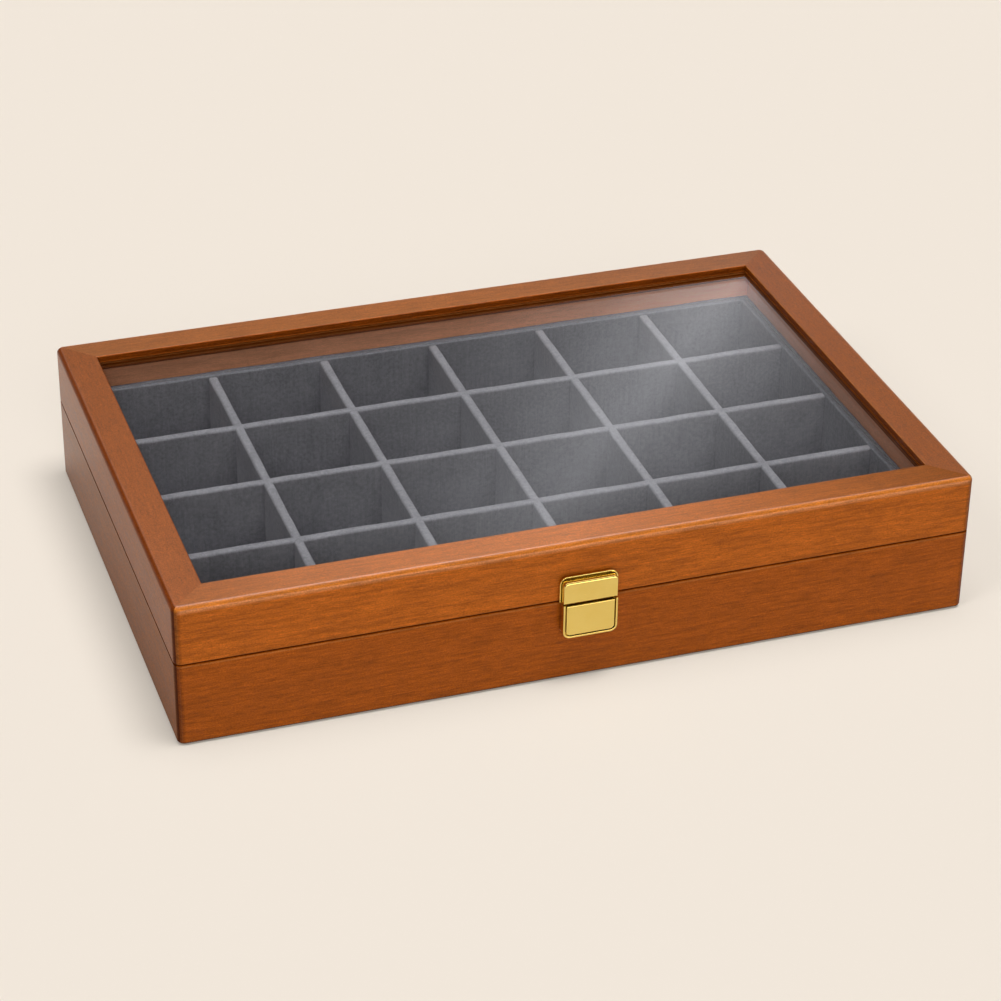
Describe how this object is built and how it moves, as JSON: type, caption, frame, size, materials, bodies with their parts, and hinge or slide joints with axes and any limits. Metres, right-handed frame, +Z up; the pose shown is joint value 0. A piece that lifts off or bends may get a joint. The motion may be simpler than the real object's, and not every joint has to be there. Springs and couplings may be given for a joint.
{
  "type": "cufflink display box",
  "caption": "Wooden display box with a hinged glass lid, a suede-lined tray divided into square cells for cufflinks, and a push-button clasp.",
  "frame": {"origin": "middle of the wooden box's footprint, on the surface that it stands on", "axes": "+X along the box to the right as seen from the clasp, +Y from the clasp to the hinges, +Z up"},
  "size_m": [0.33, 0.2292, 0.0623],
  "materials": {
    "stained_wood": "satin",
    "panel_wood": "matte",
    "suede": "napped",
    "felt": "napped",
    "glass": "polished",
    "clasp_brass": "satin",
    "hinge_brass": "satin",
    "steel": "brushed"
  },
  "bodies": {
    "base": {"base_back": "stained_wood", "base_bottom": "panel_wood", "base_felt": "felt", "base_front": "stained_wood", "base_left": "stained_wood", "base_right": "stained_wood", "clasp_base_pins": "steel", "clasp_catch_spring": "steel", "clasp_housing": "clasp_brass", "divider_long_1": "suede", "divider_long_2": "suede", "divider_long_3": "suede", "divider_short_1": "suede", "divider_short_2": "suede", "divider_short_3": "suede", "divider_short_4": "suede", "divider_short_5": "suede", "hinge_base_leaf_left": "hinge_brass", "hinge_base_leaf_right": "hinge_brass", "hinge_pin_left": "steel", "hinge_pin_right": "steel", "hinge_screws_base": "hinge_brass", "liner_back": "suede", "liner_front": "suede", "liner_left": "suede", "liner_right": "suede", "tray_floor": "suede", "tray_wall_back": "suede", "tray_wall_front": "suede", "tray_wall_left": "suede", "tray_wall_right": "suede"},
    "lid": {"clasp_lid_block": "clasp_brass", "clasp_lid_plate": "clasp_brass", "clasp_lid_rivets": "steel", "clasp_strike": "steel", "glass_bead_back": "stained_wood", "glass_bead_front": "stained_wood", "glass_bead_left": "stained_wood", "glass_bead_right": "stained_wood", "glass_pane": "glass", "hinge_lid_leaf_left": "hinge_brass", "hinge_lid_leaf_right": "hinge_brass", "hinge_screws_lid": "hinge_brass", "lid_back": "stained_wood", "lid_front": "stained_wood", "lid_left": "stained_wood", "lid_right": "stained_wood"},
    "button": {"clasp_button": "clasp_brass"}
  },
  "joints": [
    {"name": "lid_hinge", "type": "hinge", "parent": "base", "child": "lid", "pos_m": [0, 0.1122, 0.03675], "axis": [-1, 0, 0], "range_deg": [0, 95], "deforming": ["clasp_catch_spring"]},
    {"name": "button_press", "type": "slide", "parent": "base", "child": "button", "axis": [0, 1, 0], "range_m": [0, 0.0012], "stiffness_N_per_m": 800, "springref_m": -0.001, "deforming": ["clasp_catch_spring"]}
  ]
}
